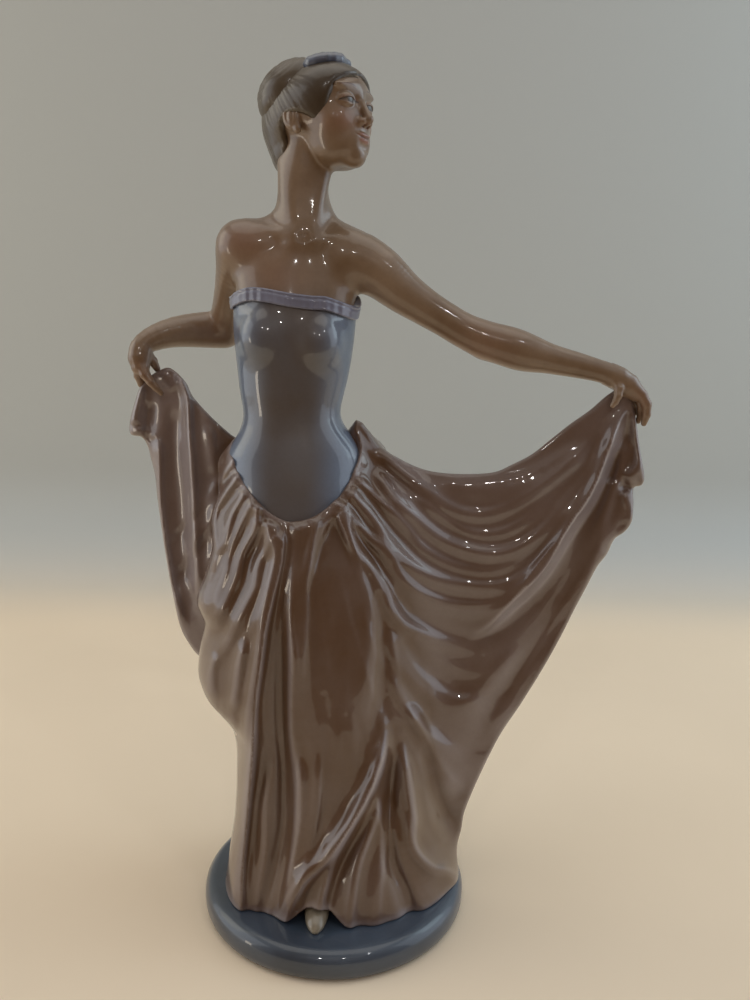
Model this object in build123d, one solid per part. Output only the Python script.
"""Standing dancer statuette in slip-cast porcelain, built as the separately cast
sections that are luted together before firing.  Millimetres, +Z up, origin at the
centre of the plinth's flat underside, the figure faces -Y.  Her left side is +X.
"""
from build123d import *
import math
import os

# ------------------------------------------------------------------ driving sizes
PLINTH_R = 50.0          # outer radius of the round plinth
PLINTH_H = 10.5          # plinth thickness
PLINTH_EDGE = 4.6        # rounding of the plinth rim
WALL = 3.6               # cast wall of the hollow sections
VENT_R = 3.0             # firing vent in the plinth floor
VENT_Y = 20.0            # its distance behind the centre
SHAFT_R = 9.0            # opening from the plinth into the skirt
DRAPE_T = 4.2            # thickness of the held-out drapery
N_RING = 30              # points on every lofted ring
FLUTES = 9               # folds round the hem
TRIM = 1.7               # how proud the neckline cuff stands

# skirt column: z, centre x, half width, front depth, back depth, flute depth
SKIRT = [
    (10.5, 2.6, 42.6, 34.6, 35.0, 1.6),
    (24.0, 2.8, 40.8, 33.2, 34.0, 1.5),
    (42.0, 1.5, 38.6, 31.4, 32.6, 1.3),
    (60.0, -1.5, 38.6, 30.4, 31.8, 1.1),
    (78.0, -6.0, 41.4, 29.8, 31.0, 1.0),
    (96.0, -9.0, 42.0, 29.2, 30.2, 1.0),
    (114.0, -10.8, 40.6, 28.2, 28.6, 0.9),
    (132.0, -12.2, 35.2, 26.0, 26.0, 0.8),
    (150.0, -13.8, 29.8, 23.0, 23.2, 0.5),
    (164.0, -15.6, 26.4, 20.8, 21.0, 0.3),
    (180.0, -16.8, 22.4, 17.0, 17.4, 0.2),
]
# torso: z, centre x, half width, front depth, back depth
TORSO = [
    (136.0, -13.6, 33.0, 25.0, 25.0),
    (150.0, -14.2, 29.4, 23.0, 22.8),
    (162.0, -15.4, 26.8, 21.0, 20.8),
    (174.0, -16.3, 24.0, 18.2, 18.0),
    (179.5, -16.8, 20.6, 15.2, 15.4),
    (185.5, -17.3, 17.0, 12.8, 12.8),
    (193.5, -17.5, 18.4, 13.4, 12.6),
    (205.0, -16.9, 20.3, 15.4, 13.2),
    (216.0, -16.8, 21.4, 16.6, 13.8),
    (225.5, -16.4, 21.4, 15.2, 14.0),
    (233.0, -15.8, 22.4, 13.2, 13.4),
    (241.0, -16.0, 22.6, 11.2, 12.0),
    (247.0, -15.4, 19.6, 9.4, 10.4),
    (252.0, -13.6, 13.2, 8.2, 9.2),
    (257.0, -12.6, 8.8, 7.4, 8.0),
    (263.0, -12.2, 7.6, 7.0, 7.4),
    (270.0, -11.8, 7.2, 6.8, 7.2),
]
WAIST_SIDE_Z = 174.0     # skirt seam at the hips
WAIST_FRONT = 1.02       # its fall towards the pointed front, mm per mm
WAIST_BACK = 0.30        # its fall towards the back
BODICE_TOP = 225.5
NECK_SEAM = 262.0
CUFF_LOW, CUFF_HIGH, CUFF_TILT = 221.0, 228.0, 7.0

# held-out drapery: outline in X and Z, and the plane it hangs in
DRAPE_L_OUT = [
    (2.0, 176.0), (14.0, 174.4), (24.0, 170.4), (34.8, 167.1), (45.3, 166.6), (55.8, 167.5), (66.0, 172.2), (75.8, 179.9),
    (86.0, 188.2), (96.3, 196.2), (102.0, 196.0), (105.4, 188.7), (108.2, 176.0), (109.4, 166.0), (106.6, 152.0), (101.1, 143.0),
    (95.4, 132.0), (87.9, 116.3), (78.2, 94.6), (69.6, 78.5), (62.5, 66.2), (55.5, 49.7), (50.3, 34.9), (47.6, 20.0),
    (44.0, 13.0), (30.0, 12.6), (12.0, 14.0), (2.0, 30.0), (0.0, 100.0),
]
DRAPE_L_Y = 0.6
DRAPE_R_OUT = [
    (-26.0, 170.0), (-41.6, 178.2), (-48.6, 184.4), (-55.4, 191.9), (-59.0, 198.4), (-63.8, 202.2), (-70.0, 201.0), (-76.1, 191.5),
    (-78.6, 181.0), (-73.7, 172.1), (-70.5, 161.9), (-69.4, 150.0), (-67.0, 130.2), (-62.2, 105.0), (-56.0, 91.6), (-46.0, 86.0),
    (-30.0, 88.0), (-22.0, 110.0), (-20.0, 150.0),
]
DRAPE_R_Y = 13.0

# arms: x, y, z, radius along the centre line
ARM_L = [
    (-2.0, 0.6, 242.6, 8.6), (6.0, 0.2, 241.2, 8.5), (13.8, 0.0, 236.9, 8.0), (21.2, 0.0, 230.6, 7.0),
    (29.0, 0.0, 225.4, 6.3), (36.6, 0.0, 221.0, 6.0), (43.4, 0.0, 217.3, 6.1),
    (51.3, 0.0, 214.2, 6.7), (59.5, 0.0, 212.3, 6.5), (66.7, 0.0, 210.2, 5.9),
    (74.2, 0.0, 208.2, 5.3), (84.7, 0.0, 206.0, 4.4), (92.2, 0.0, 204.2, 3.9), (97.2, 0.0, 201.6, 3.7),
]
ARM_L_WRIST = 7          # the hand section starts before this many last stations
UPPER_R = [
    (-31.0, 2.0, 243.6, 8.2), (-37.0, 4.0, 241.2, 7.8), (-40.6, 10.0, 235.6, 6.8), (-43.2, 18.0, 229.0, 6.0),
    (-45.6, 25.0, 222.6, 5.9), (-48.2, 29.0, 216.6, 5.6),
]
FORE_R = [
    (-44.4, 31.0, 218.4, 5.8), (-50.0, 28.4, 218.8, 6.3), (-56.4, 25.0, 217.6, 6.4), (-63.4, 20.6, 216.0, 6.0),
    (-70.6, 16.0, 213.4, 5.0), (-76.0, 12.4, 210.8, 4.2), (-79.4, 10.0, 208.2, 3.8),
]


# ------------------------------------------------------------------ helpers
def spline_ring(points):
    """Closed smooth wire through the points, all rings on one parameter scale."""
    n = len(points)
    params = [i / n for i in range(n + 1)]
    return Wire([Edge.make_spline([Vector(*p) for p in points], periodic=True, parameters=params)])


def oval(z, cx, half_w, front, back, flute=0.0, grow=0.0, cy=0.0):
    pts = []
    for i in range(N_RING):
        t = 2 * math.pi * i / N_RING
        a = half_w + grow
        b = (front if math.sin(t) < 0 else back) + grow
        k = 1.0 + (flute / half_w) * math.cos(FLUTES * t)
        pts.append((cx + a * k * math.cos(t), cy + b * k * math.sin(t), z))
    return spline_ring(pts)


def loft_ovals(rows, grow=0.0):
    return Solid.make_loft([oval(r[0], r[1], r[2], r[3], r[4], r[5] if len(r) > 5 and grow == 0 else 0.0, grow) for r in rows])


def solid_of(shape):
    found = shape.solids()
    if not found:
        raise ValueError("empty solid")
    return max(found, key=lambda s: s.volume)


def cut(a, *tools):
    out = a
    for t in tools:
        out = out.cut(t) if hasattr(out, "cut") else out - t
    return solid_of(out)


def common(a, b):
    return solid_of(a.intersect(b) if hasattr(a, "intersect") else a & b)


def fused(*shapes):
    out = shapes[0]
    for s in shapes[1:]:
        out = out.fuse(s)
    return solid_of(out)


def tube(stations):
    """Round limb of changing radius through the stations."""
    n = len(stations)
    wires = []
    for i, (x, y, z, r) in enumerate(stations):
        a = stations[max(i - 1, 0)]
        b = stations[min(i + 1, n - 1)]
        d = Vector(b[0] - a[0], b[1] - a[1], b[2] - a[2]).normalized()
        ref = Vector(0, 1, 0) if abs(d.Y) < 0.8 else Vector(0, 0, 1)
        u = d.cross(ref).normalized()
        v = d.cross(u).normalized()
        pts = []
        for k in range(12):
            t = 2 * math.pi * k / 12
            p = Vector(x, y, z) + u * (r * math.cos(t)) + v * (r * math.sin(t))
            pts.append((p.X, p.Y, p.Z))
        wires.append(spline_ring(pts))
    return Solid.make_loft(wires)


def ball(x, y, z, r):
    return Solid.make_sphere(r, angle1=-90, angle2=90, angle3=360).moved(Location((x, y, z)))


def egg(x, y, z, rx, ry, rz):
    """Ellipsoid from two lofted halves of stacked ovals, closed by small flat poles."""
    rows = []
    for k in range(9):
        t = math.radians(-80 + 20 * k)
        rows.append((z + rz * math.sin(t), x, rx * math.cos(t), ry * math.cos(t), ry * math.cos(t)))
    return Solid.make_loft([oval(*r, cy=y) for r in rows])


def slab(z_low, z_high, size=300.0):
    return Solid.make_box(size, size, z_high - z_low).moved(Location((-size / 2, -size / 2, z_low)))


def prism_x(points_yz, x0=-150.0, x1=150.0):
    """Prism along X over a polygon in Y and Z."""
    wire = Wire.make_polygon([Vector(x0, y, z) for y, z in points_yz], close=True)
    return Solid.extrude(Face(wire), Vector(x1 - x0, 0, 0))


def drape(outline, y_mid):
    """Hanging sheet of one thickness cut to the outline."""
    wire = spline_ring([(x, y_mid - DRAPE_T / 2, z) for x, z in outline])
    return Solid.extrude(Face(wire), Vector(0, DRAPE_T, 0))


# ------------------------------------------------------------------ plinth
profile = [
    (SHAFT_R, PLINTH_H), (SHAFT_R, PLINTH_H - WALL), (PLINTH_R - WALL - 1.0, PLINTH_H - WALL),
    (PLINTH_R - WALL - 1.0, WALL), (0, WALL), (0, 0), (PLINTH_R - PLINTH_EDGE, 0),
]
rim_mid_z = PLINTH_H / 2
line = Polyline(*[(r, 0, z) for r, z in profile])
rim = ThreePointArc((PLINTH_R - PLINTH_EDGE, 0, 0), (PLINTH_R, 0, rim_mid_z), (PLINTH_R - PLINTH_EDGE, 0, PLINTH_H))
top_line = Line((PLINTH_R - PLINTH_EDGE, 0, PLINTH_H), (SHAFT_R, 0, PLINTH_H))
plinth = Solid.revolve(Face(Wire([*line.edges(), *rim.edges(), *top_line.edges()])), 360, Axis.Z)
vent = Solid.make_cylinder(VENT_R, WALL + 2).moved(Location((0, VENT_Y, -1)))
plinth = cut(plinth, vent)

# ------------------------------------------------------------------ waist seam
above_seam = prism_x([
    (-60, WAIST_SIDE_Z - 60 * WAIST_FRONT), (0, WAIST_SIDE_Z), (60, WAIST_SIDE_Z - 60 * WAIST_BACK), (60, 320), (-60, 320),
])

# ------------------------------------------------------------------ torso
torso_full = loft_ovals(TORSO)
torso_core = loft_ovals([*TORSO[:9], (BODICE_TOP - 4.5, *TORSO[9][1:])], grow=-WALL)
bodice = common(torso_full, above_seam)
bodice = cut(bodice, slab(BODICE_TOP, 330))
bodice = cut(bodice, torso_core)
shoulders = cut(torso_full, slab(100, BODICE_TOP), slab(NECK_SEAM, 330))

tilt = math.degrees(math.atan2(-CUFF_TILT, 43.0)) * 0.5
band = Solid.make_box(200, 200, CUFF_HIGH - CUFF_LOW).moved(Location((-100, -100, CUFF_LOW)))
band = band.rotate(Axis((-16.4, 0, 224.5), (0, 1, 0)), -tilt)
cuff = common(loft_ovals(TORSO, grow=TRIM), band)
neckline_cuff = cut(cuff, torso_full)

# ------------------------------------------------------------------ skirt
skirt_full = loft_ovals(SKIRT)
skirt_outer = cut(skirt_full, above_seam)
skirt_inner = loft_ovals([(r[0] if i else r[0] - 1, r[1], r[2], r[3], r[4]) for i, r in enumerate(SKIRT)], grow=-WALL - 1.6)
shoe_full = tube([
    (-4.8, -22.0, PLINTH_H + 2.6, 4.2), (-5.0, -28.0, PLINTH_H + 2.4, 4.4), (-5.2, -34.0, PLINTH_H + 2.0, 4.0),
    (-5.4, -38.0, PLINTH_H + 1.4, 3.0), (-5.5, -40.4, PLINTH_H + 1.0, 1.4),
])
shoe = cut(shoe_full, slab(-10, PLINTH_H))
skirt_body = cut(skirt_outer, skirt_inner, shoe_full)

drape_left = cut(drape(DRAPE_L_OUT, DRAPE_L_Y), skirt_outer, torso_full)
drape_right = cut(drape(DRAPE_R_OUT, DRAPE_R_Y), skirt_outer, torso_full)

# ------------------------------------------------------------------ arms
left_arm_full = tube(ARM_L)
hand_l_palm = tube([(97.2, 0.0, 201.6, 3.7), (100.6, -0.4, 198.8, 4.2), (104.0, -0.4, 194.6, 4.4), (106.6, -0.2, 190.6, 3.6)])
fingers_l = [
    tube([(104.8, -2.4, 194.2, 1.9), (107.6, -2.8, 190.0, 1.6), (108.6, -2.6, 185.4, 1.2)]),
    tube([(105.6, 0.2, 194.2, 1.9), (108.6, 0.2, 190.0, 1.6), (109.6, 0.4, 185.0, 1.2)]),
    tube([(105.0, 2.8, 193.6, 1.8), (107.8, 3.0, 189.6, 1.5), (108.4, 3.2, 185.6, 1.1)]),
]
thumb_l = tube([(98.8, -3.2, 199.0, 2.2), (98.0, -4.4, 194.6, 1.8), (96.6, -4.2, 190.4, 1.3)])
left_arm = cut(left_arm_full, shoulders)
left_hand = cut(fused(hand_l_palm, *fingers_l, thumb_l), left_arm, drape_left)

upper_r_full = tube(UPPER_R)
right_upper_arm = cut(upper_r_full, shoulders, bodice, neckline_cuff)
fore_r_full = tube(FORE_R)
right_forearm = cut(fore_r_full, right_upper_arm, bodice)
hand_r_palm = tube([(-79.4, 10.0, 208.2, 3.8), (-80.6, 8.0, 204.0, 4.0), (-79.2, 6.4, 200.2, 3.8), (-76.6, 5.6, 197.4, 3.0)])
fingers_r = [
    tube([(-78.6, 5.6, 200.0, 1.9), (-73.4, 4.6, 196.2, 1.7), (-67.6, 5.0, 192.6, 1.3)]),
    tube([(-79.8, 7.6, 199.6, 1.9), (-76.6, 6.4, 194.0, 1.6), (-73.0, 6.2, 189.6, 1.2)]),
]
thumb_r = tube([(-77.6, 11.2, 205.6, 2.0), (-72.6, 13.6, 203.6, 1.8), (-68.6, 14.6, 201.4, 1.4)])
right_hand = cut(fused(hand_r_palm, *fingers_r, thumb_r), right_forearm, drape_right)

# ------------------------------------------------------------------ head and hair
HEAD = (-9.6, -1.0, 284.0)
skull = egg(HEAD[0], HEAD[1], HEAD[2] + 2.0, 12.4, 13.2, 16.6)
jaw = egg(HEAD[0] + 3.6, HEAD[1] - 2.0, HEAD[2] - 7.6, 8.6, 8.6, 10.4)
neck_top = tube([(-12.2, -0.2, NECK_SEAM, 7.2), (-11.8, -0.4, 268.0, 7.0), (-10.6, -0.8, 275.0, 7.0)])
nose = tube([(2.4, -10.0, 284.6, 1.6), (4.6, -12.4, 280.6, 1.7)])
head_full = fused(skull, jaw, neck_top)
head_full = fused(head_full, nose)
head = cut(head_full, slab(240, NECK_SEAM))

FACE_DIR = (0.80, -0.60)
hair_full = egg(HEAD[0] - 1.0, HEAD[1] + 0.6, HEAD[2] + 2.8, 14.6, 14.8, 18.4)
face_side = Solid.make_box(60, 60, 80).moved(Location((0, 0, -52), (0, 0, 0)))
face_side = Solid.make_box(60, 80, 60).moved(Location((2.2, -40, -50)))
face_side = face_side.rotate(Axis.Y, -24).rotate(Axis.Z, math.degrees(math.atan2(FACE_DIR[1], FACE_DIR[0])))
face_side = face_side.moved(Location((HEAD[0], HEAD[1], HEAD[2] + 6.0)))
hair = cut(hair_full, face_side, slab(240, 270.5))
hair = cut(hair, head_full)
chignon_full = egg(-19.6, 3.2, 295.0, 9.4, 9.6, 11.4)
chignon = cut(chignon_full, hair_full, head_full)
ribbon_ring = Solid.make_torus(8.4, 2.4).moved(Location((-15.4, 2.2, 297.4), (0, -52, -12)))
hair_ribbon = cut(ribbon_ring, head_full, chignon_full, hair_full)

# ------------------------------------------------------------------ write
parts = {
    "plinth": plinth,
    "skirt_body": skirt_body,
    "left_drape": drape_left,
    "right_drape": drape_right,
    "bodice": bodice,
    "neckline_cuff": neckline_cuff,
    "shoulders": shoulders,
    "left_arm": left_arm,
    "left_hand": left_hand,
    "right_upper_arm": right_upper_arm,
    "right_forearm": right_forearm,
    "right_hand": right_hand,
    "head": head,
    "hair": hair,
    "chignon": chignon,
    "hair_ribbon": hair_ribbon,
    "shoe": shoe,
}
os.makedirs("parts", exist_ok=True)
for name, shape in parts.items():
    export_step(shape, os.path.join("parts", name + ".step"))
    bb = shape.bounding_box()
    print(f"{name:16s} vol {shape.volume/1000:8.2f} cm3  x {bb.min.X:7.1f} {bb.max.X:7.1f}  y {bb.min.Y:7.1f} {bb.max.Y:7.1f}  z {bb.min.Z:7.1f} {bb.max.Z:7.1f}")
